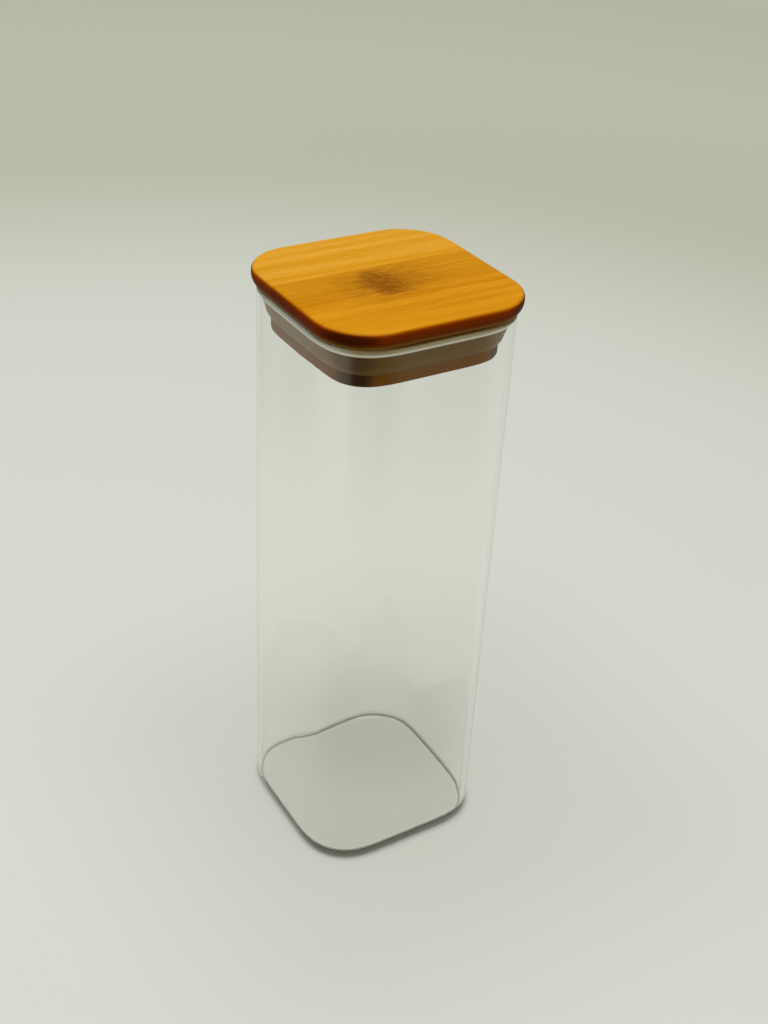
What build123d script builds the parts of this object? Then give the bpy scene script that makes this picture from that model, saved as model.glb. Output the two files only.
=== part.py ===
from build123d import *
import os
from math import sqrt

# A tall square glass storage jar with a bamboo lid. The lid is glued up from sawn strips:
# two plies make the plate, three more make the plug that goes into the mouth, and a
# silicone seal sits in a groove round the plug. The origin is the middle of the surface
# that the jar stands on, +Z is up, and the grain of the bamboo runs along X.

# The glass jar
jar_height = 286.5
body_width = 97.0
body_corner_radius = 26.0
wall_thickness = 2.5
floor_thickness = 4.0
heel_radius = 5.0
inner_heel_radius = 2.0
foot_ring_width = 4.0
push_up_depth = 1.0

# The plate of the lid
lid_overhang = 1.5
lid_corner_radius = 25.2
plate_thickness = 9.0
plate_top_round = 2.0
plate_lower_round = 6.0
rim_clearance = 0.2

# The plug of the lid, and the groove that holds the seal
plug_depth = 19.4
plug_foot_round = 1.4
plug_to_glass = 4.9
groove_depth = 1.2
groove_clearance = 0.05

# The silicone seal
seal_drop = 2.7
seal_height = 10.7
seal_lip_rise = 2.4
seal_lip_thickness = 1.0
seal_shoulder_height = 2.9
seal_shoulder_proud = 2.2
seal_shoulder_round = 1.5
seal_foot_proud = 0.3
seal_clearance = 0.15

# Where the glue seams between strips run, as shares of the width of the plate or the plug,
# from front to back. The seams of each ply miss those of the next one.
face_seam_shares = (-0.38, -0.13, 0.12, 0.37)
back_seam_shares = (-0.255, -0.005, 0.245)
outer_plug_seam_shares = (-0.16, 0.145)
middle_plug_seam_shares = (-0.31, -0.005, 0.3)

# One overrun lets every cut run clear of the faces that it opens
overrun = 2.0

# How much of a radius a round may take where a thin wall limits it
round_limit_share = 0.96

# Sizes that follow
lid_width = body_width + 2 * lid_overhang
inner_half_width = body_width / 2 - wall_thickness
inner_corner_radius = body_corner_radius - wall_thickness
rim_round = round_limit_share * wall_thickness / 2
plug_half_width = inner_half_width - plug_to_glass
plug_corner_radius = inner_corner_radius - plug_to_glass
lower_round = min(plate_lower_round, round_limit_share * (plate_thickness - plate_top_round))


def corner_reach(half_width, corner_radius):
    """How far a square with round corners reaches from its middle, along its diagonal."""
    return sqrt(2) * (half_width - corner_radius) + corner_radius


def plate_underside():
    """Height at which the rounded lower edge of the plate rests over the rim."""
    flat_half_width = lid_width / 2 - lower_round
    rim_half_width = body_width / 2 - rim_round
    at_sides = rim_half_width - flat_half_width
    at_corners = (corner_reach(rim_half_width, body_corner_radius - rim_round)
                  - corner_reach(flat_half_width, lid_corner_radius - lower_round))
    sideways = max(min(at_sides, at_corners), 0)
    reach = lower_round + rim_round + rim_clearance
    return jar_height - rim_round - lower_round + sqrt(reach**2 - sideways**2)


underside = plate_underside()
lid_top = underside + plate_thickness
plug_foot = underside - plug_depth
seal_top = underside - seal_drop
seal_foot = seal_top - seal_height
band_top = seal_top - seal_lip_rise


def square_loop(half_width, corner_radius, height):
    """A closed path round a square with round corners, from the middle of its +X side."""
    with BuildLine(Plane.XY.offset(height)) as loop:
        FilletPolyline((half_width, 0), (half_width, half_width), (-half_width, half_width),
                       (-half_width, 0), radius=corner_radius)
        mirror(about=Plane.XZ)
    return loop.wire()


def keep(part, name):
    """Names a finished piece and writes it to its own file."""
    part.label = name
    export_step(part, f"parts/{name}.step")


def make_glass_jar():
    """One blown piece: a floor with a push-up, straight walls and a fire-polished rim."""
    inner_width = 2 * inner_half_width
    ring_half_width = body_width / 2 - heel_radius - foot_ring_width
    dome_radius = (ring_half_width**2 + push_up_depth**2) / (2 * push_up_depth)
    with BuildPart() as glass_jar:
        with BuildSketch():
            RectangleRounded(body_width, body_width, body_corner_radius)
        extrude(amount=jar_height)
        fillet(glass_jar.edges().group_by(Axis.Z)[0], radius=heel_radius)
        with BuildSketch(Plane.XY.offset(floor_thickness)):
            RectangleRounded(inner_width, inner_width, inner_corner_radius)
        extrude(amount=jar_height, mode=Mode.SUBTRACT)
        floor_edges = glass_jar.edges().filter_by_position(
            Axis.Z, floor_thickness, floor_thickness)
        fillet(floor_edges, radius=inner_heel_radius)
        fillet(glass_jar.edges().group_by(Axis.Z)[-1], radius=rim_round)
        # The push-up is a very shallow dome that keeps the middle of the floor off the table
        with Locations((0, 0, push_up_depth - dome_radius)):
            Sphere(dome_radius, mode=Mode.SUBTRACT)
    keep(glass_jar.part, "glass_jar")


def make_silicone_seal():
    """A ring with a band that sits in the groove and a lip that flares up to the glass."""
    band_side = plug_half_width - groove_depth + groove_clearance
    lip_tip = inner_half_width - seal_clearance
    shoulder_side = plug_half_width + seal_shoulder_proud
    shoulder = seal_foot + seal_shoulder_height
    foot_side = plug_half_width + seal_foot_proud
    lip_root = foot_side + seal_lip_thickness
    tip_round = seal_lip_thickness / 2
    with BuildPart() as silicone_seal:
        with BuildSketch(Plane.XZ) as section:
            with BuildLine():
                Polyline((foot_side, seal_foot), (band_side, seal_foot),
                         (band_side, band_top), (lip_root, band_top),
                         (lip_tip - seal_lip_thickness, seal_top - tip_round))
                RadiusArc((lip_tip - seal_lip_thickness, seal_top - tip_round),
                          (lip_tip, seal_top - tip_round), tip_round)
                FilletPolyline((lip_tip, seal_top - tip_round), (shoulder_side, shoulder),
                               (foot_side, seal_foot), radius=seal_shoulder_round)
            make_face()
        sweep(section.sketch,
              path=square_loop(plug_half_width, plug_corner_radius, seal_top))
    keep(silicone_seal.part, "silicone_seal")


def plate_stock():
    """The plate before it is told apart into strips."""
    with BuildPart() as plate:
        with BuildSketch(Plane.XY.offset(underside)):
            RectangleRounded(lid_width, lid_width, lid_corner_radius)
        extrude(amount=plate_thickness)
        fillet(plate.edges().group_by(Axis.Z)[-1], radius=plate_top_round)
        fillet(plate.edges().group_by(Axis.Z)[0], radius=lower_round)
    return plate.part


def plug_stock():
    """The plug before it is told apart into strips, with the groove for the seal."""
    plug_width = 2 * plug_half_width
    core_width = plug_width - 2 * groove_depth
    outside = plug_width + 2 * overrun
    groove_foot = seal_foot - groove_clearance
    groove_height = band_top + groove_clearance - groove_foot
    with BuildPart() as plug:
        with BuildSketch(Plane.XY.offset(plug_foot)):
            RectangleRounded(plug_width, plug_width, plug_corner_radius)
        extrude(amount=plug_depth)
        fillet(plug.edges().group_by(Axis.Z)[0], radius=plug_foot_round)
        with BuildSketch(Plane.XY.offset(groove_foot)):
            Rectangle(outside, outside)
            RectangleRounded(core_width, core_width, plug_corner_radius - groove_depth,
                             mode=Mode.SUBTRACT)
        extrude(amount=groove_height, mode=Mode.SUBTRACT)
    return plug.part


def make_ply(stock, ply_name, width, low, high, seam_shares):
    """Cuts one ply of the stock into its strips, front to back."""
    edges = [width * share for share in (-0.5, *seam_shares, 0.5)]
    for number, (front, back) in enumerate(zip(edges, edges[1:]), start=1):
        with BuildPart() as strip:
            add(stock)
            with Locations((0, (front + back) / 2, (low + high) / 2)):
                Box(width, back - front, high - low, mode=Mode.INTERSECT)
        keep(strip.part, f"{ply_name}_strip_{number}")


def make_plate():
    """The two plies of the plate."""
    plate = plate_stock()
    middle = (underside + lid_top) / 2
    make_ply(plate, "face", lid_width, middle, lid_top, face_seam_shares)
    make_ply(plate, "back", lid_width, underside, middle, back_seam_shares)


def make_plug():
    """The three plies of the plug, from its foot up."""
    plug = plug_stock()
    plies = [("plug_lower", outer_plug_seam_shares), ("plug_middle", middle_plug_seam_shares),
             ("plug_upper", outer_plug_seam_shares)]
    ply_thickness = plug_depth / len(plies)
    for place, (ply_name, seam_shares) in enumerate(plies):
        low = plug_foot + place * ply_thickness
        make_ply(plug, ply_name, 2 * plug_half_width, low, low + ply_thickness, seam_shares)


os.makedirs("parts", exist_ok=True)
make_glass_jar()
make_silicone_seal()
make_plate()
make_plug()
print("overall height", round(lid_top, 2), "plug foot", round(plug_foot, 2),
      "seal", round(seal_foot, 2), "to", round(seal_top, 2))
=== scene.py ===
# %% [markdown]
# # A square glass storage jar with a bamboo lid
# The jar is one blown piece of clear glass, about three times as tall as it is wide. Its lid
# is glued up from strips of bamboo, and a silicone seal round the plug of the lid grips the
# mouth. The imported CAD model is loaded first, because every piece below has to sit where it
# says.

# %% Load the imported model
import bmesh
import bpy
from math import cos, radians, sin
from mathutils import Matrix, Quaternion, Vector


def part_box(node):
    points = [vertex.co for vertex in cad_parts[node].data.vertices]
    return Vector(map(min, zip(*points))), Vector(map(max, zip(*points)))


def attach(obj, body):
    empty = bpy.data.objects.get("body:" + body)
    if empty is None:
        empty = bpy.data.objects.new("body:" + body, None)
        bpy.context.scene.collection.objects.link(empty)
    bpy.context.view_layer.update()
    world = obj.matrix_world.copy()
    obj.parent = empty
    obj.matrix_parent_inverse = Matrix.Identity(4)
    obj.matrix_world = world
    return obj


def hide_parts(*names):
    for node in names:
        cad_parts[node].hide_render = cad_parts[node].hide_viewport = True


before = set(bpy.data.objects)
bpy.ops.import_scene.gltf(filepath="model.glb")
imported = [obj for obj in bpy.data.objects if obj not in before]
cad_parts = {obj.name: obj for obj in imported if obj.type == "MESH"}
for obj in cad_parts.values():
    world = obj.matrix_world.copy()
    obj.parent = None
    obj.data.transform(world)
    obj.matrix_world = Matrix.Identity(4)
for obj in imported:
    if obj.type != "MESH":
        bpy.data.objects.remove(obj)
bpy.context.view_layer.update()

# %% [markdown]
# ## The camera
# The jar was photographed from above and from its front left corner, by a hand-held camera
# that leaned a little. A matrix could place the camera too, but nobody can read one. So it
# is built from angles: first it orbits a point on the jar's axis, then it turns a touch
# aside and up, and last it leans about its own line of sight.

# %% Place the camera
mm = 0.001
around, above = radians(-32.08), radians(34.48)
turned_aside, turned_up, leaned = radians(-0.394), radians(1.972), radians(-2.974)
orbit_point = Vector((0, 0, 147.9 * mm))
orbit_reach = 669.3  # in millimetres

away = Vector((sin(around) * cos(above), -cos(around) * cos(above), sin(above)))
sight = -away
right = sight.cross(Vector((0, 0, 1))).normalized()
up = right.cross(sight)
aside = Quaternion(up, turned_aside)
sight, right = aside @ sight, aside @ right
upward = Quaternion(right, turned_up)
sight, up = upward @ sight, upward @ up
lean = Quaternion(sight, leaned)
up, right = lean @ up, lean @ right

lens = bpy.data.cameras.new("camera")
lens.lens = 48.11
lens.sensor_width = 36
lens.clip_start = 0.01
camera = bpy.data.objects.new("camera", lens)
turn = Matrix((right, up, -sight)).transposed().to_4x4()
camera.matrix_world = Matrix.Translation(orbit_point + away * orbit_reach * mm) @ turn
bpy.context.scene.collection.objects.link(camera)
bpy.context.scene.camera = camera
print("the camera stands at", [round(c, 3) for c in camera.matrix_world.translation])

# %% [markdown]
# ## Measures
# Heights and widths come from the boxes of the CAD nodes, so the pieces keep to the model
# even if it is packed again with other ones. A box doesn't tell how thick a wall is or how
# round a corner, so those sizes are named where a piece first needs them.

# %% Read the heights and widths from the CAD nodes
jar_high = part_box("glass_jar")[1]
seal_low, seal_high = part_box("silicone_seal")
plate_low, plate_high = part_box("back_strip_1")[0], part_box("face_strip_5")[1]
plug_low, plug_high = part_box("plug_lower_strip_1")[0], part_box("plug_upper_strip_3")[1]

wall_half, jar_height = jar_high[0], jar_high[2]
seal_foot, seal_top = seal_low[2], seal_high[2]
lid_half, plate_foot, plate_top = plate_high[1], plate_low[2], plate_high[2]
plug_half, plug_foot, plug_top = plug_high[1], plug_low[2], plug_high[2]
wall_thickness = 2.5 * mm
bore_half = wall_half - wall_thickness
print("jar", round(jar_height / mm, 2), "mm high, lid", round(2 * lid_half / mm, 2),
      "mm wide, plug", round(2 * plug_half / mm, 2), "mm wide")

# %% [markdown]
# ## Three ways of making that every piece shares
# The jar, the seal and the plug are one section carried round a square with round corners:
# the wire is extruded along each side and spun round each corner. The plate of bamboo is a
# square face whose corners are bevelled before it is extruded, as a joiner rounds a board.
# Each finished mesh becomes an object at the origin that rides on a body of the CAD model.

# %% Draw a section
def section_wire(points):
    """Starts a wire from (outward, height, round) triples, and rounds its corners."""
    mesh = bmesh.new()
    corners = [mesh.verts.new((outward, 0, height)) for outward, height, _ in points]
    for pair in zip(corners, corners[1:]):
        mesh.edges.new(pair)
    for corner, (_, _, reach) in zip(corners, points):
        if reach:
            bmesh.ops.bevel(mesh, geom=[corner], affect="VERTICES", offset_type="OFFSET",
                            offset=reach, segments=8, profile=0.5, material=-1)
    return mesh


# %% Carry a section round a square
# A side is made in eight runs, with a short one beside each corner to keep its shading even
side_runs = (0.02, 0.16, 0.16, 0.16, 0.16, 0.16, 0.16, 0.02)
same_place = 0.001 * mm


def only(kind, geometry):
    """Picks the vertices or the edges out of what an operator returns."""
    return [g for g in geometry if isinstance(g, kind)]


def carry_round(mesh, reach, arcs):
    """Takes the wire along four sides and round four corners, back to where it began.

    The path lies at the reach from the middle. Each arc is a radius, an angle and its steps.
    """
    turned, corner = 0.0, 0.0
    for radius, angle, _ in arcs:
        corner += radius * (sin(turned + angle) - sin(turned))
        turned += angle
    straight_half = reach - corner
    bmesh.ops.translate(mesh, verts=mesh.verts[:], vec=(0, -straight_half, 0))
    wire = mesh.edges[:]
    place, turned = Vector((reach, -straight_half, 0)), 0.0
    for _ in range(4):
        along = Matrix.Rotation(turned, 3, "Z") @ Vector((0, 2 * straight_half, 0))
        for share in side_runs:
            run = bmesh.ops.extrude_edge_only(mesh, edges=wire)["geom"]
            bmesh.ops.translate(mesh, vec=along * share, verts=only(bmesh.types.BMVert, run))
            wire = only(bmesh.types.BMEdge, run)
        place += along
        for radius, angle, steps in arcs:
            centre = place - Matrix.Rotation(turned, 3, "Z") @ Vector((radius, 0, 0))
            run = bmesh.ops.spin(mesh, geom=wire, cent=centre, axis=(0, 0, 1), angle=angle,
                                 steps=steps, use_duplicate=False)["geom_last"]
            wire = only(bmesh.types.BMEdge, run)
            turned += angle
            place = centre + Matrix.Rotation(turned, 3, "Z") @ Vector((radius, 0, 0))
    bmesh.ops.remove_doubles(mesh, verts=mesh.verts[:], dist=same_place)


# %% Find the edges at one height, and close the middle of a floor
same_height = 0.01 * mm


def edges_at(mesh, height):
    """The edges that lie level at one height."""
    return [e for e in mesh.edges if all(abs(v.co.z - height) < same_height for v in e.verts)]


def close_middle(mesh, height, rings):
    """Fills the open square at one height with smaller and smaller squares, and a last face."""
    edges = [e for e in edges_at(mesh, height) if e.is_boundary]
    for ring in range(rings, 0, -1):
        run = bmesh.ops.extrude_edge_only(mesh, edges=edges)["geom"]
        shrink = ring / (ring + 1)
        bmesh.ops.scale(mesh, vec=(shrink, shrink, 1), verts=only(bmesh.types.BMVert, run))
        edges = only(bmesh.types.BMEdge, run)
    bmesh.ops.edgeloop_fill(mesh, edges=edges)


# %% Cut a board with round corners
def round_board(half, corner, low, high, top_round, foot_round):
    """A square board: a face with bevelled corners, extruded, then its edges rounded."""
    mesh = bmesh.new()
    bmesh.ops.create_grid(mesh, x_segments=1, y_segments=1, size=half)
    bmesh.ops.bevel(mesh, geom=mesh.verts[:], affect="VERTICES", offset_type="OFFSET",
                    offset=corner, segments=24, profile=0.5, material=-1)
    bmesh.ops.translate(mesh, verts=mesh.verts[:], vec=(0, 0, low))
    raised = bmesh.ops.extrude_face_region(mesh, geom=mesh.faces[:])["geom"]
    bmesh.ops.translate(mesh, vec=(0, 0, high - low), verts=only(bmesh.types.BMVert, raised))
    for height, reach in ((high, top_round), (low, foot_round)):
        bmesh.ops.bevel(mesh, geom=edges_at(mesh, height), affect="EDGES",
                        offset_type="OFFSET", offset=reach, segments=10, profile=0.5,
                        material=-1)
    bmesh.ops.recalc_face_normals(mesh, faces=mesh.faces[:])
    return mesh


# %% Finish a mesh as a piece that rides on a body
crease = radians(32)


def finish_piece(name, mesh, material, body, node):
    """Smooths what is round, keeps what is sharp, sets the piece on its body, and hides its CAD
    node.
    """
    for face in mesh.faces:
        face.smooth = True
    for edge in mesh.edges:
        if edge.is_manifold and edge.calc_face_angle() > crease:
            edge.smooth = False
    data = bpy.data.meshes.new(name)
    mesh.to_mesh(data)
    mesh.free()
    data.materials.append(material)
    piece = bpy.data.objects.new(name, data)
    bpy.context.scene.collection.objects.link(piece)
    even = piece.modifiers.new("even shading", "WEIGHTED_NORMAL")
    even.keep_sharp = True
    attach(piece, body)
    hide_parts(node)
    print(name, len(data.polygons), "faces")
    return piece


# %% [markdown]
# ## A small kit for shaders
# A finish is wired from many small nodes: sums, blends, masks and noises. They could be
# linked one by one, but the same lines would come again and again. So each kind of node gets
# a short function here, which takes sockets or plain numbers and returns its output.

# %% Start a material or a node group
def new_material(name):
    """A material, its node tree and its Principled shader."""
    material = bpy.data.materials.new(name)
    material.use_nodes = True
    return material, material.node_tree, material.node_tree.nodes["Principled BSDF"]


def new_group(name, inputs, outputs):
    """Starts a shader group with named sockets, and returns its tree, inlet and outlet."""
    tree = bpy.data.node_groups.new(name, "ShaderNodeTree")
    for label, kind, value in inputs:
        socket = tree.interface.new_socket(label, in_out="INPUT", socket_type=kind)
        socket.default_value = value
    for label, kind in outputs:
        tree.interface.new_socket(label, in_out="OUTPUT", socket_type=kind)
    return tree, tree.nodes.new("NodeGroupInput"), tree.nodes.new("NodeGroupOutput")


def place_group(tree, group, values):
    """Puts a group into a tree, with this tree's own numbers and colours."""
    node = tree.nodes.new("ShaderNodeGroup")
    node.node_tree = group
    for label, value in values.items():
        node.inputs[label].default_value = value
    return node


# %% Link a node's inputs, reckon and blend
def feed(tree, node, values):
    """Gives each numbered input of a node a link or a plain value; None is left alone."""
    for place, value in values.items():
        if isinstance(value, bpy.types.NodeSocket):
            tree.links.new(value, node.inputs[place])
        elif value is not None:
            node.inputs[place].default_value = value


def reckon(tree, operation, first, second=None, third=None, clamp=False):
    """One Math node."""
    node = tree.nodes.new("ShaderNodeMath")
    node.operation = operation
    node.use_clamp = clamp
    feed(tree, node, {0: first, 1: second, 2: third})
    return node.outputs[0]


def blend(tree, share, first, second, mode="MIX"):
    """One Mix node for colours, whose colours are its inputs 6 and 7."""
    node = tree.nodes.new("ShaderNodeMix")
    node.data_type = "RGBA"
    node.blend_type = mode
    feed(tree, node, {0: share, 6: first, 7: second})
    return node.outputs[2]


# %% Make masks and streaks
def ramp(tree, value, low, high):
    """Goes smoothly from 0 to 1 while the value goes from low to high."""
    node = tree.nodes.new("ShaderNodeMapRange")
    node.interpolation_type = "SMOOTHSTEP"
    feed(tree, node, {"Value": value, "From Min": low, "From Max": high})
    return node.outputs["Result"]


def fade(tree, value, low, high):
    """Goes smoothly from 1 to 0 while the value goes from low to high."""
    return reckon(tree, "SUBTRACT", 1.0, ramp(tree, value, low, high))


def split(tree, vector):
    """The X, Y and Z of a vector."""
    node = tree.nodes.new("ShaderNodeSeparateXYZ")
    tree.links.new(vector, node.inputs[0])
    return node.outputs


def streaks(tree, place, scale, detail, roughness=0.5):
    """Noise stretched along the grain; the scale is in features per metre for X, Y and Z."""
    stretch = tree.nodes.new("ShaderNodeMapping")
    feed(tree, stretch, {"Scale": scale, "Vector": place})
    noise = tree.nodes.new("ShaderNodeTexNoise")
    feed(tree, noise, {"Scale": 1, "Detail": detail, "Roughness": roughness,
                       "Vector": stretch.outputs[0]})
    return noise.outputs["Fac"]


# %% [markdown]
# ## Clear glass
# The glass is clear and nearly colourless, with a trace of green where it is looked through
# edge on. It is the Principled shader with all of its light let through. Light for what
# stands behind or under the glass goes straight through a Transparent shader instead, a
# little dimmed, because bent light finds a lamp too seldom and would leave the floor black.
# Light that the heel has thrown about more than five times goes straight on as well, because
# a render counts its bounces and would end there in black.
#
# The jar wears this mix five times, each with its own numbers: the walls, the mouth round
# the plug, the rim that the flame left a little hazy, the floor, and the heel, which stands
# in its own shade.

# %% Mix the glass
glass_bends_light = 1.47
bounces_followed = 5.5


def mix_glass(name, tint, mirror, shade, dim, roughness=0.0, through=1.0):
    """Clear glass for what is seen, and a plain tinted pane for light on its way past.

    Each is a colour: the tint of what shows through it, the mirror of what it reflects, the
    shade of what it lights, and the dim of light that is trapped in it.
    """
    material, tree, clear = new_material(name)
    clear.inputs["Base Color"].default_value = (*tint, 1)
    clear.inputs["Specular Tint"].default_value = (*mirror, 1)
    clear.inputs["Roughness"].default_value = roughness
    clear.inputs["IOR"].default_value = glass_bends_light
    clear.inputs["Transmission Weight"].default_value = through
    path = tree.nodes.new("ShaderNodeLightPath").outputs
    trapped = reckon(tree, "GREATER_THAN", path["Ray Depth"], bounces_followed)
    lighting = reckon(tree, "MAXIMUM", path["Is Shadow Ray"], path["Is Diffuse Ray"])
    surface = clear.outputs["BSDF"]
    for share, colour in ((trapped, dim), (lighting, shade)):
        straight = tree.nodes.new("ShaderNodeBsdfTransparent")
        straight.inputs["Color"].default_value = (*colour, 1)
        choice = tree.nodes.new("ShaderNodeMixShader")
        feed(tree, choice, {0: share, 1: surface, 2: straight.outputs["BSDF"]})
        surface = choice.outputs[0]
    tree.links.new(surface, tree.nodes["Material Output"].inputs["Surface"])
    return material


plain, faint = (1, 1, 1), (0.975, 0.98, 0.97)
wall_tint, trapped_dim = (0.988, 0.993, 0.980), (0.16, 0.16, 0.14)
glass = mix_glass("clear_glass", wall_tint, plain, faint, plain)
mouth_glass = mix_glass("mouth_glass", wall_tint, (0.45, 0.45, 0.45), faint, plain)
rim_glass = mix_glass("rim_glass", plain, (1, 1, 0.9), faint, faint, 0.5, 0.4)
floor_glass = mix_glass("floor_glass", (0.975, 0.98, 0.96), plain, (0.925, 0.93, 0.92),
                        trapped_dim)
heel_glass = mix_glass("heel_glass", (0.85, 0.87, 0.80), plain, (0.20, 0.20, 0.18),
                       trapped_dim, 0.1)
print("mixed", len([m for m in bpy.data.materials if m.name.endswith("_glass")]), "glasses")

# %% [markdown]
# ## The haze and the painted reflection on the rim
# A rim that was melted round is never quite clear. It mirrors the brown of the lid just above
# it, and on the left the pale of the paper. Mirroring alone could show this, but the rim is
# barely a millimetre high and a render would miss most of it. So the reflection is painted:
# its tint turns from brown to pale along X.

# %% Paint the reflection on the rim
pale_reflection_from, pale_reflection_by = 38 * mm, 48 * mm
tree = rim_glass.node_tree
where = tree.nodes.new("ShaderNodeTexCoord")
leftward = reckon(tree, "MULTIPLY", split(tree, where.outputs["Object"])[0], -1.0)
pale_reflection_share = ramp(tree, leftward, pale_reflection_from, pale_reflection_by)
rim_painted_reflection = blend(tree, pale_reflection_share, (0.62, 0.52, 0.26, 1), (0.90, 0.96, 0.84, 1))
tree.links.new(rim_painted_reflection, tree.nodes["Principled BSDF"].inputs["Base Color"])
print("the rim turns pale between", round(pale_reflection_from / mm), "and", round(pale_reflection_by / mm),
      "mm to the left")

# %% [markdown]
# ## The jar
# The jar was blown into a square mould: even walls, a heavier floor, a heel that rolls
# under to a narrow foot, and a push-up in the middle that keeps the floor off the table.
# The rim was melted round in a flame. A box with bevelled edges would give the outside, but
# not the even wall. So one section, from the middle of the floor up the bore, over the rim
# and down to the foot, is carried round the square. Blown glass has no hard line where a
# corner begins, so the path eases into each corner over wider and wider arcs.

# %% Draw the jar's section and the path of its corners
# Each arc of a corner has a radius, an angle and its steps. A section reaches in from the
# path by less than the smallest radius, or it would turn inside out at the corners.
entering = [(120 * mm, radians(2.5), 2), (60 * mm, radians(5), 3), (36 * mm, radians(7), 4)]
eased_corner = entering + [(23.77 * mm, radians(61), 28)] + entering[::-1]

floor_thickness, rim_round = 4 * mm, 1.2 * mm
heel_round, inner_heel_round = 5 * mm, 2 * mm
foot_ring_width, push_up = 4 * mm, 1 * mm
floor_reach = wall_half - 21 * mm
dome_edge = wall_half - heel_round - foot_ring_width
jar_section = [
    (floor_reach, floor_thickness, 0),
    (bore_half, floor_thickness, inner_heel_round),
    (bore_half, jar_height, rim_round),
    (wall_half, jar_height, rim_round),
    (wall_half, 0, heel_round),
    (dome_edge, 0, 0),
    (dome_edge - 3 * mm, 0, 0),
    (dome_edge - 7 * mm, 0, 0),
    (floor_reach, 0, 0),
]
print("the section has", len(jar_section), "corners, and a corner of the path",
      len(eased_corner), "arcs")

# %% Blow the jar
jar_mesh = section_wire(jar_section)
carry_round(jar_mesh, wall_half, eased_corner)
floor_rings = 4
for height in (0, floor_thickness):
    close_middle(jar_mesh, height, floor_rings)

# The push-up is a very shallow dome
dome_radius = (dome_edge ** 2 + push_up ** 2) / (2 * push_up)
for v in jar_mesh.verts:
    reach = v.co.xy.length
    if v.co.z < same_height and reach < dome_edge:
        v.co.z = (dome_radius ** 2 - reach ** 2) ** 0.5 - (dome_radius - push_up)
bmesh.ops.recalc_face_normals(jar_mesh, faces=jar_mesh.faces[:])
print("the push-up is a cap of a ball with a radius of", round(dome_radius, 2), "m")

# %% Give each zone of the jar its glass
rim_from, mouth_from = jar_height - 1.3 * mm, plug_foot + 4 * mm
floor_to, heel_to = 4.5 * mm, 3.6 * mm
corner_middle, heel_from = 22.5 * mm, 22.6 * mm
for face in jar_mesh.faces:
    spot = face.calc_center_median()
    outward = Vector((max(abs(spot.x) - corner_middle, 0), max(abs(spot.y) - corner_middle, 0)))
    if spot.z > rim_from:
        face.material_index = 1
    elif outward.length > heel_from and spot.z < heel_to:
        face.material_index = 2
    elif spot.z > mouth_from:
        face.material_index = 3
    elif spot.z < floor_to:
        face.material_index = 4
jar = finish_piece("jar_glass", jar_mesh, glass, "jar", "glass_jar")
for other in (rim_glass, heel_glass, mouth_glass, floor_glass):
    jar.data.materials.append(other)

# %% [markdown]
# ## Bamboo
# Laminated bamboo shows the side of each split cane: long pale and brown streaks along the
# grain, and fine darker fibres. Across the grain only the ends of the fibres show, and those
# drink more oil and turn darker. A wood texture would draw rings, which bamboo doesn't have.
# So the streaks are noises stretched along X, in one node group, and each strip gives it its
# own tones and slides it to its own stretch of grain.

# %% Start the bamboo grain
grain, inlet, outlet = new_group(
    "bamboo_grain",
    [("Pale", "NodeSocketColor", (0.7, 0.35, 0.05, 1)),
     ("Deep", "NodeSocketColor", (0.5, 0.2, 0.01, 1)),
     ("End", "NodeSocketColor", (0.3, 0.1, 0.01, 1)),
     ("Slide", "NodeSocketFloat", 0.0)],
    [("Color", "NodeSocketColor"), ("Roughness", "NodeSocketFloat"),
     ("Height", "NodeSocketFloat")])
where = grain.nodes.new("ShaderNodeTexCoord")
slide = grain.nodes.new("ShaderNodeCombineXYZ")
feed(grain, slide, dict.fromkeys(range(3), inlet.outputs["Slide"]))
moved = grain.nodes.new("ShaderNodeVectorMath")
feed(grain, moved, {0: where.outputs["Object"], 1: slide.outputs[0]})
place = moved.outputs[0]

# %% Lay the streaks along the grain
broad = streaks(grain, place, (7, 170, 170), 3, 0.6)
fine = streaks(grain, place, (24, 900, 900), 3, 0.6)
dashes = streaks(grain, place, (110, 2400, 2400), 1)
depth = reckon(grain, "MULTIPLY_ADD", reckon(grain, "SUBTRACT", broad, 0.5), 2.6, 0.5)
depth = reckon(grain, "MULTIPLY_ADD", reckon(grain, "SUBTRACT", fine, 0.5), 1.3, depth,
               clamp=True)
along = blend(grain, depth, inlet.outputs["Pale"], inlet.outputs["Deep"])
fibre = reckon(grain, "MULTIPLY", ramp(grain, dashes, 0.56, 0.72), 0.22)
along = blend(grain, fibre, along, (0.25, 0.09, 0.01, 1))

# %% Darken the ends of the fibres, and give the grain its relief
facing = split(grain, where.outputs["Normal"])
ends = streaks(grain, place, (40, 1500, 1500), 2)
dots = reckon(grain, "MULTIPLY", ramp(grain, ends, 0.45, 0.65), 0.4)
dots = blend(grain, dots, inlet.outputs["End"], (0.20, 0.06, 0.004, 1))
across = ramp(grain, reckon(grain, "ABSOLUTE", facing[0]), 0.45, 0.95)
rough = reckon(grain, "MULTIPLY_ADD", fine, 0.16, 0.34)
rough = reckon(grain, "MULTIPLY_ADD", across, 0.12, rough)
height = reckon(grain, "MULTIPLY_ADD", dashes, 0.5, fine)
feed(grain, outlet, {"Color": blend(grain, across, along, dots), "Roughness": rough,
                     "Height": height})
print("the grain is made of", len(grain.nodes), "nodes")
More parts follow.
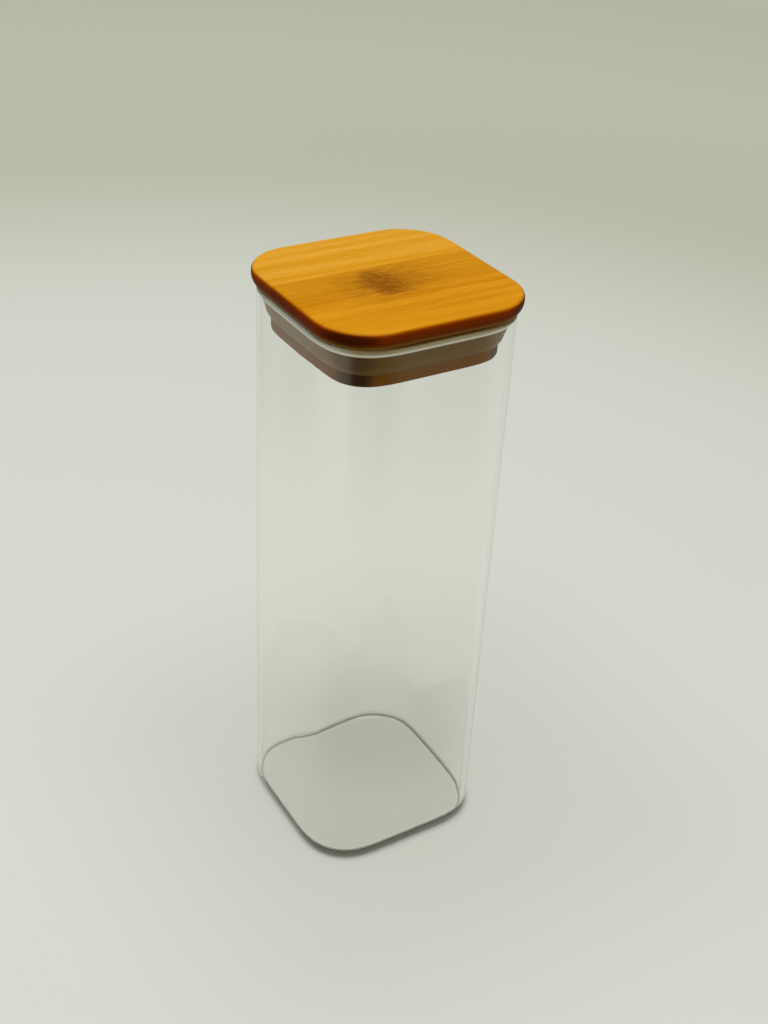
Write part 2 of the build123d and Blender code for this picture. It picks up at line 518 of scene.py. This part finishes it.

# %% [markdown]
# ## The darker edge, oiled and shaded
# Where the router rounded a board, the cut fibres drink more oil, and beyond that the sides
# are painted darker, as shade from the lamp above. The undersides keep more of their colour,
# as painted light thrown up by the paper, and the corners get painted shade as well. The
# normal of the surface tells how far it leans over, so it can serve as the mask. A colour for
# each face would show a step at every one.

# %% Build the darker edge, with its painted shade and light
edge, inlet, outlet = new_group(
    "oiled_and_shaded_edge",
    [("Color", "NodeSocketColor", (0.5, 0.2, 0.01, 1)),
     ("Side oil and shade", "NodeSocketColor", (0.5, 0.4, 0.3, 1)),
     ("Lit from below", "NodeSocketColor", (0.5, 0.5, 0.3, 1)),
     ("Corner shade", "NodeSocketFloat", 0.5)],
    [("Color", "NodeSocketColor")])
where = edge.nodes.new("ShaderNodeTexCoord")
facing = split(edge, where.outputs["Normal"])
# The sides get the darker tone, partly oil and partly painted shade, and the undersides get a
# lighter one, as painted light from the paper
side = fade(edge, facing[2], 0.42, 0.99)
below = fade(edge, facing[2], -0.85, -0.2)
tone = blend(edge, below, inlet.outputs["Side oil and shade"], inlet.outputs["Lit from below"])
# Painted shade on the corners of the square, where the normal leans to both X and Y
slant = reckon(edge, "ABSOLUTE", reckon(edge, "MULTIPLY", facing[0], facing[1]))
corner_shade = reckon(edge, "MULTIPLY", ramp(edge, slant, 0.15, 0.48), inlet.outputs["Corner shade"])
tone = blend(edge, corner_shade, tone, (0, 0, 0, 1))
shaded_edge = blend(edge, 1.0, inlet.outputs["Color"], tone, "MULTIPLY")
feed(edge, outlet, {"Color": blend(edge, side, inlet.outputs["Color"], shaded_edge)})
print("the edge is made of", len(edge.nodes), "nodes")

# %% [markdown]
# ## The knuckle
# Here and there a joint of the cane was planed away and left a brown, speckled patch. An
# ellipse on the board gives its place and size, a noise frays its outline, and a second one
# breaks it into specks.

# %% Build the knuckle
knuckle, inlet, outlet = new_group(
    "knuckle",
    [("Color", "NodeSocketColor", (0.5, 0.2, 0.01, 1)), ("X", "NodeSocketFloat", 0.0),
     ("Y", "NodeSocketFloat", 0.0), ("Length", "NodeSocketFloat", 0.01),
     ("Width", "NodeSocketFloat", 0.01), ("Strength", "NodeSocketFloat", 1.0)],
    [("Color", "NodeSocketColor")])
where = knuckle.nodes.new("ShaderNodeTexCoord")
spot = split(knuckle, where.outputs["Object"])
gap_x = reckon(knuckle, "DIVIDE", reckon(knuckle, "SUBTRACT", spot[0], inlet.outputs["X"]),
               inlet.outputs["Length"])
gap_y = reckon(knuckle, "DIVIDE", reckon(knuckle, "SUBTRACT", spot[1], inlet.outputs["Y"]),
               inlet.outputs["Width"])
reach = reckon(knuckle, "MULTIPLY_ADD", gap_x, gap_x, reckon(knuckle, "MULTIPLY", gap_y, gap_y))
wander = streaks(knuckle, where.outputs["Object"], (120, 420, 420), 2)
wander = reckon(knuckle, "MULTIPLY", reckon(knuckle, "SUBTRACT", wander, 0.5), 0.9)
reach = reckon(knuckle, "ADD", reckon(knuckle, "SQRT", reach), wander)
speckle = streaks(knuckle, where.outputs["Object"], (420, 900, 900), 3, 0.7)
speckle = reckon(knuckle, "MULTIPLY_ADD", ramp(knuckle, speckle, 0.34, 0.62), 0.55, 0.45)
core = reckon(knuckle, "MULTIPLY", fade(knuckle, reach, 0.1, 1.0), speckle)
core = reckon(knuckle, "MULTIPLY", core, inlet.outputs["Strength"], clamp=True)
feed(knuckle, outlet,
     {"Color": blend(knuckle, core, inlet.outputs["Color"], (0.20, 0.055, 0.0, 1))})
print("the knuckle is made of", len(knuckle.nodes), "nodes")


# %% Finish one strip
def bamboo(name, pale, deep, slide, side_shade_tones, corner, knuckles=()):
    """One strip's finish: its tones, its own stretch of grain, its knuckles, and an edge that
    is darker from oil and from painted shade.
    """
    wood, tree, surface = new_material(name)
    lines = place_group(tree, grain, {"Pale": (*pale, 1), "Deep": (*deep, 1),
                                      "End": (*(0.85 * c for c in deep), 1), "Slide": slide})
    colour = lines.outputs["Color"]
    for x, y, length, width, strength in knuckles:
        mark = place_group(tree, knuckle, {"X": x * mm, "Y": y * mm, "Length": length * mm,
                                           "Width": width * mm, "Strength": strength})
        tree.links.new(colour, mark.inputs["Color"])
        colour = mark.outputs["Color"]
    # The sides: partly oil, partly painted shade; the undersides: painted light from the paper;
    # the corner share: painted shade
    side_shade, lit_below = side_shade_tones
    shaded_edge = place_group(tree, edge, {"Side oil and shade": (*side_shade, 1), "Lit from below": (*lit_below, 1),
                                      "Corner shade": corner})
    tree.links.new(colour, shaded_edge.inputs["Color"])
    relief = tree.nodes.new("ShaderNodeBump")
    feed(tree, relief, {"Strength": 0.35, "Distance": 0.05 * mm,
                        "Height": lines.outputs["Height"]})
    feed(tree, surface, {"Base Color": shaded_edge.outputs["Color"],
                         "Roughness": lines.outputs["Roughness"],
                         "Normal": relief.outputs["Normal"], "Specular IOR Level": 0.02})
    return wood


# %% [markdown]
# ## Silicone
# The seal is a soft, milky silicone. Its thick body is painted the brown of the bamboo that
# shows through it and of the shade it sits in under the lid, and it gets painted shade where
# it bends round a corner. Only its thin lip stays white. Light that scatters under the surface
# would show this too, but slowly and with grain in the render, so the ring wears two plain
# finishes, a shaded and a lit copy of the silicone, and the faces near its top get the lit
# one. That one glows a very little, painted light in place of the light that passes through
# a thin lip.

# %% Mix the silicone, in a shaded and a lit copy
silicone, tree, soft = new_material("shaded_milky_silicone")
# Painted brown, for the bamboo seen through it and the shade under the lid, with painted shade
# on the corners
corner_shaded = place_group(tree, edge, {"Color": (0.42, 0.215, 0.035, 1), "Side oil and shade": (1, 1, 1, 1),
                                "Lit from below": (1, 1, 1, 1), "Corner shade": 0.55})
feed(tree, soft, {"Base Color": corner_shaded.outputs["Color"], "Roughness": 0.5,
                  "Specular IOR Level": 0.2})
# The lit copy: white, with a faint glow that is painted light
lit_pale_lip, tree, thin = new_material("lit_pale_lip")
feed(tree, thin, {"Base Color": (0.95, 0.93, 0.78, 1), "Roughness": 0.5,
                  "Emission Color": (0.95, 0.90, 0.66, 1), "Emission Strength": 0.2})
print("mixed", silicone.name, "and", lit_pale_lip.name)

# %% [markdown]
# ## The seal
# The seal was moulded as one ring: a band that sits in the groove of the plug, and a lip
# that flares up and out to the glass. A torus or a scaled square would lose the thin lip at
# the corners. So its closed section is carried round the same eased square as the jar's, and
# the two keep the same distance from each other all the way round.

# %% Draw the section of the seal
band_depth, band_drop = 1.15 * mm, 2.4 * mm
lip_thickness, lip_clearance, lip_rise = 1.0 * mm, 0.15 * mm, 0.6 * mm
foot_side = plug_half + 0.3 * mm
band_side = plug_half - band_depth
lip_tip = bore_half - lip_clearance
lip_top = seal_top + lip_rise
shoulder_side, shoulder = plug_half + 2.2 * mm, seal_foot + 2.9 * mm
thick_from = lip_top - 1.3 * mm
flare = (shoulder_side - lip_tip) / (lip_top - shoulder)
seal_section = [
    (band_side, seal_foot, 0),
    (band_side, seal_top - band_drop, 0),
    (foot_side + lip_thickness, seal_top - band_drop, 0.3 * mm),
    (lip_tip - lip_thickness, lip_top, 0.4 * mm),
    (lip_tip, lip_top, 0.45 * mm),
    (lip_tip + flare * (lip_top - thick_from), thick_from, 0),
    (shoulder_side, shoulder, 1.2 * mm),
    (foot_side, seal_foot, 0),
]
print("the seal is", round((lip_top - seal_foot) / mm, 2), "mm high")

# %% Mould the seal
seal_mesh = section_wire(seal_section)
loose_ends = [v for v in seal_mesh.verts if len(v.link_edges) == 1]
seal_mesh.edges.new(loose_ends)
carry_round(seal_mesh, wall_half, eased_corner)
bmesh.ops.recalc_face_normals(seal_mesh, faces=seal_mesh.faces[:])
# The faces near the top wear the lit copy, with its painted glow
for face in seal_mesh.faces:
    if face.calc_center_median().z > thick_from:
        face.material_index = 1
seal = finish_piece("seal_ring", seal_mesh, silicone, "lid", "silicone_seal")
seal.data.materials.append(lit_pale_lip)

# %% [markdown]
# ## The plate of the lid
# Two plies of strips, the seams of one missing those of the other. Strips could be modelled
# one by one, but then the rounded edge would not run on from one to the next. So the whole
# board is made again for each strip, and the saw takes away what lies in front of it and
# behind it. A knuckle marks the two strips in the middle of the face.

# %% Set up the saw
def saw(mesh, place, axis, keep_above):
    """Cuts the closed mesh with a plane across an axis, and closes the cut."""
    normal, spot = Vector((0, 0, 0)), Vector((0, 0, 0))
    normal[axis], spot[axis] = 1, place
    cut = bmesh.ops.bisect_plane(mesh, geom=mesh.verts[:] + mesh.edges[:] + mesh.faces[:],
                                 dist=0.1 * same_place, plane_co=spot, plane_no=normal,
                                 clear_outer=not keep_above, clear_inner=keep_above)
    bmesh.ops.edgeloop_fill(mesh, edges=only(bmesh.types.BMEdge, cut["geom_cut"]))


def saw_strip(mesh, low, high, front, back):
    """Keeps one strip of a board; a limit of None is the board's own face."""
    for place, axis, keep_above in ((low, 2, True), (high, 2, False),
                                    (front, 1, True), (back, 1, False)):
        if place is not None:
            saw(mesh, place, axis, keep_above)
    bmesh.ops.recalc_face_normals(mesh, faces=mesh.faces[:])


# %% Choose the tones and the seams of the plate
# A pale and a deep tone for each strip, from front to back. A knuckle has its place, length
# and width in millimetres, and a strength. A seam of None is the edge of the board.
# Tones of the sides and undersides: darker sides, partly oil and partly painted shade, and
# undersides kept near their own colour, as painted light from the paper. The corner share is
# painted shade.
side_shade_tones = ((0.60, 0.225, 0.0), (0.85, 0.95, 1.0))
lid_corner_shade = 0.62
face_tones = [
    ((0.62, 0.270, 0.008), (0.52, 0.195, 0.0)),
    ((0.61, 0.270, 0.008), (0.50, 0.180, 0.0)),
    ((0.57, 0.248, 0.006), (0.46, 0.168, 0.0)),
    ((0.675, 0.328, 0.032), (0.565, 0.250, 0.004)),
    ((0.675, 0.332, 0.034), (0.57, 0.252, 0.005)),
]
back_tones = ((0.62, 0.27, 0.03), (0.50, 0.19, 0.01))
knuckles = [(-5, 3, 9, 8, 1.0), (-5, -13, 9, 8, 1.0), (-4.5, -5.5, 15, 15, 1.0),
            (-2, -4, 38, 24, 0.55)]
face_seams = [None, -38 * mm, -13 * mm, 12 * mm, 37 * mm, None]
back_seams = [None, -25.5 * mm, -0.5 * mm, 24.5 * mm, None]
print(len(face_seams) - 1, "strips above and", len(back_seams) - 1, "below")


# %% Saw the plies of the plate into strips
def plate_board():
    """The whole plate before it is sawn."""
    corner, top_round, lower_round = 25.2 * mm, 2 * mm, 6 * mm
    return round_board(lid_half, corner, plate_foot, plate_top, top_round, lower_round)


middle = (plate_foot + plate_top) / 2
for number, (front, back) in enumerate(zip(face_seams, face_seams[1:]), start=1):
    strip = plate_board()
    saw_strip(strip, middle, None, front, back)
    pale, deep = face_tones[number - 1]
    wood = bamboo(f"bamboo_face_{number}", pale, deep, 0.37 * number, side_shade_tones, lid_corner_shade,
                  knuckles if number in (2, 3) else ())
    finish_piece(f"lid_face_{number}", strip, wood, "lid", f"face_strip_{number}")
for number, (front, back) in enumerate(zip(back_seams, back_seams[1:]), start=1):
    strip = plate_board()
    saw_strip(strip, None, middle, front, back)
    wood = bamboo(f"bamboo_back_{number}", *back_tones, 2.1 + 0.41 * number, side_shade_tones,
                  lid_corner_shade)
    finish_piece(f"lid_back_{number}", strip, wood, "lid", f"back_strip_{number}")

# %% [markdown]
# ## The plug of the lid
# Three plies deep, with the groove for the seal cut into its side. The groove needs a
# section of its own, which a bevelled board doesn't have. So the section is carried round
# like the jar's, closed above and below, and then sawn into its strips.

# %% Draw the section of the plug
groove_play, groove_depth, foot_round = 0.05 * mm, 1.2 * mm, 1.4 * mm
groove_foot = seal_foot - groove_play
groove_top = seal_top - band_drop + groove_play
core_half = plug_half - groove_depth
opening = plug_half - 14 * mm
plug_section = [
    (opening, plug_foot, 0),
    (plug_half, plug_foot, foot_round),
    (plug_half, groove_foot, 0),
    (core_half, groove_foot, 0),
    (core_half, groove_top, 0),
    (plug_half, groove_top, 0),
    (plug_half, plug_top, 0),
    (opening, plug_top, 0),
]
print("the groove is", round((groove_top - groove_foot) / mm, 2), "mm high")

# %% Saw the plug into strips
ply = (plug_top - plug_foot) / 3
plug_width = 2 * plug_half
outer_seams = [None, -0.16 * plug_width, 0.145 * plug_width, None]
middle_seams = [None, -0.31 * plug_width, -0.005 * plug_width, 0.3 * plug_width, None]
plug_tones = ((0.64, 0.29, 0.032), (0.50, 0.20, 0.012))
# The plug's sides are a little darker, partly oil and partly painted shade, and below, the
# corner share of 0.8 gives its corners a strong painted shade
plug_shade_tones = ((0.92, 0.85, 0.6), (0.92, 0.85, 0.6))
for order, (ply_name, seams) in enumerate((("lower", outer_seams), ("middle", middle_seams),
                                           ("upper", outer_seams))):
    low = plug_foot + order * ply if order else None
    high = plug_foot + (order + 1) * ply if order < 2 else None
    for number, (front, back) in enumerate(zip(seams, seams[1:]), start=1):
        strip = section_wire(plug_section)
        carry_round(strip, wall_half, eased_corner)
        bmesh.ops.holes_fill(strip, edges=[e for e in strip.edges if e.is_boundary], sides=0)
        bmesh.ops.recalc_face_normals(strip, faces=strip.faces[:])
        saw_strip(strip, low, high, front, back)
        wood = bamboo(f"bamboo_plug_{ply_name}_{number}", *plug_tones,
                      4.3 + order + 0.29 * number, plug_shade_tones, 0.8)
        finish_piece(f"plug_{ply_name}_{number}", strip, wood, "lid",
                     f"plug_{ply_name}_strip_{number}")

# %% [markdown]
# ## The floor and the light
# The jar stood on a sheet of pale paper that turned a little darker behind it. One wide
# lamp hangs overhead, and the room gives a little light from all sides.
#
# Glass shows what is round it more than its own colour, and in front of this jar the room
# was dark. So the paper has three tones: one for the camera, one for what the glass mirrors
# and one for the light that the paper throws up at the lid. All three are colours of the
# paper, so the lamp stays plain and the jar keeps its shadow.

# %% Lay the floor
floor_mesh = bmesh.new()
bmesh.ops.create_circle(floor_mesh, cap_ends=True, segments=96, radius=8)
bmesh.ops.translate(floor_mesh, verts=floor_mesh.verts[:], vec=(0, 0, -0.02 * mm))
data = bpy.data.meshes.new("floor")
floor_mesh.to_mesh(data)
floor_mesh.free()
floor = bpy.data.objects.new("floor", data)
bpy.context.scene.collection.objects.link(floor)
paper, tree, sheet = new_material("paper")
feed(tree, sheet, {"Roughness": 1.0, "Specular IOR Level": 0.0})
data.materials.append(paper)
print("the floor is", round(2 * max(v.co.x for v in data.vertices)), "m wide")


# %% Measure the floor, and shade a spot of it
def distance_from(tree, where, centre):
    """How far a point of the floor is from a place, in metres."""
    apart = tree.nodes.new("ShaderNodeVectorMath")
    apart.operation = "DISTANCE"
    feed(tree, apart, {0: where.outputs["Object"], 1: centre})
    return apart.outputs["Value"]


def shaded_spot(tree, where, colour, centre, wide, share):
    """Darkens a colour softly around a place on the floor."""
    near = fade(tree, distance_from(tree, where, centre), 0.3 * wide, wide)
    return blend(tree, reckon(tree, "MULTIPLY", near, share), colour,
                 (0.03, 0.028, 0.025, 1))


def seen_plainly(tree, path):
    """1 for the camera and for what is mirrored or seen through glass, and 0 for light."""
    bounced = reckon(tree, "MAXIMUM", path["Is Glossy Ray"], path["Is Transmission Ray"])
    return reckon(tree, "MAXIMUM", path["Is Camera Ray"], bounced)


# %% Colour the paper for the camera
where = tree.nodes.new("ShaderNodeTexCoord")
path = tree.nodes.new("ShaderNodeLightPath").outputs
off_middle = distance_from(tree, where, (-0.10, 0.064, 0))
far = ramp(tree, off_middle, 0.55, 1.05)
tone = blend(tree, far, (0.668, 0.678, 0.610, 1), (0.560, 0.566, 0.460, 1))
farther = ramp(tree, off_middle, 0.9, 1.9)
tone = blend(tree, farther, tone, (0.76, 0.768, 0.63, 1))

# A painted shadow under the jar, a little darker towards the back, where the lid shades
# it; only what is seen through the glass shows it
painted_lid_shadow = shaded_spot(tree, where, tone, (0.03, 0.04, 0), 0.075, 0.14)
tone = blend(tree, path["Is Transmission Ray"], tone, painted_lid_shadow)

# %% Colour it for what it lights and for what mirrors it
# What the jar mirrors of it: darkest from the dark room in front, then at the sides. Each
# spot has its place and width in metres, and a share of darkness.
mirrored = tone
mirrored_spots = [(-0.42, -0.53, 0.36, 0.95), (-0.06, -0.64, 0.38, 0.95),
                  (-0.36, 0.56, 0.36, 0.3), (0.26, -0.58, 0.36, 0.65)]
for x, y, wide, share in mirrored_spots:
    mirrored = shaded_spot(tree, where, mirrored, (x, y, 0), wide, share)
turned_back = reckon(tree, "MINIMUM", path["Glossy Depth"], 1.0)
tone = blend(tree, turned_back, tone, mirrored)

# What light it throws back up: less than its tone says, least from the front
bounced = shaded_spot(tree, where, (0.42, 0.42, 0.39, 1), (-0.25, -0.40, 0), 0.55, 1.0)
tone = blend(tree, path["Is Diffuse Ray"], tone, bounced)
print("the paper is darker in", len(mirrored_spots), "places when the glass mirrors it")

# %% Turn the far paper into the backdrop
# Far out, past the view of the camera, the sheet takes the plain colour of the room
room_seen, room_lights = (0.47, 0.475, 0.38, 1), (0.18, 0.18, 0.17, 1)
backdrop = ramp(tree, distance_from(tree, where, (0, 0, 0)), 1.1, 2.4)
tone = blend(tree, backdrop, tone, (0, 0, 0, 1))
glow = reckon(tree, "MULTIPLY", backdrop, seen_plainly(tree, path))
feed(tree, sheet, {"Base Color": tone, "Emission Color": room_seen,
                   "Emission Strength": glow})
paper.cycles.emission_sampling = "NONE"
print("the paper's finish is made of", len(tree.nodes), "nodes")

# %% Hang the lamp and light the room
softbox = bpy.data.lights.new("softbox", "AREA")
softbox.shape = "SQUARE"
softbox.size = 2.4
softbox.energy = 73.5
lamp = bpy.data.objects.new("softbox", softbox)
lamp.location = (-0.25, 0.02, 2.6)
bpy.context.scene.collection.objects.link(lamp)

world = bpy.data.worlds.new("room")
bpy.context.scene.world = world
world.use_nodes = True
tree = world.node_tree
path = tree.nodes.new("ShaderNodeLightPath").outputs
feed(tree, tree.nodes["Background"],
     {"Color": blend(tree, seen_plainly(tree, path), room_lights, room_seen)})
bpy.context.scene.view_settings.view_transform = "Standard"
print("the lamp gives", softbox.energy, "W from", round(lamp.location.z, 2), "m up")
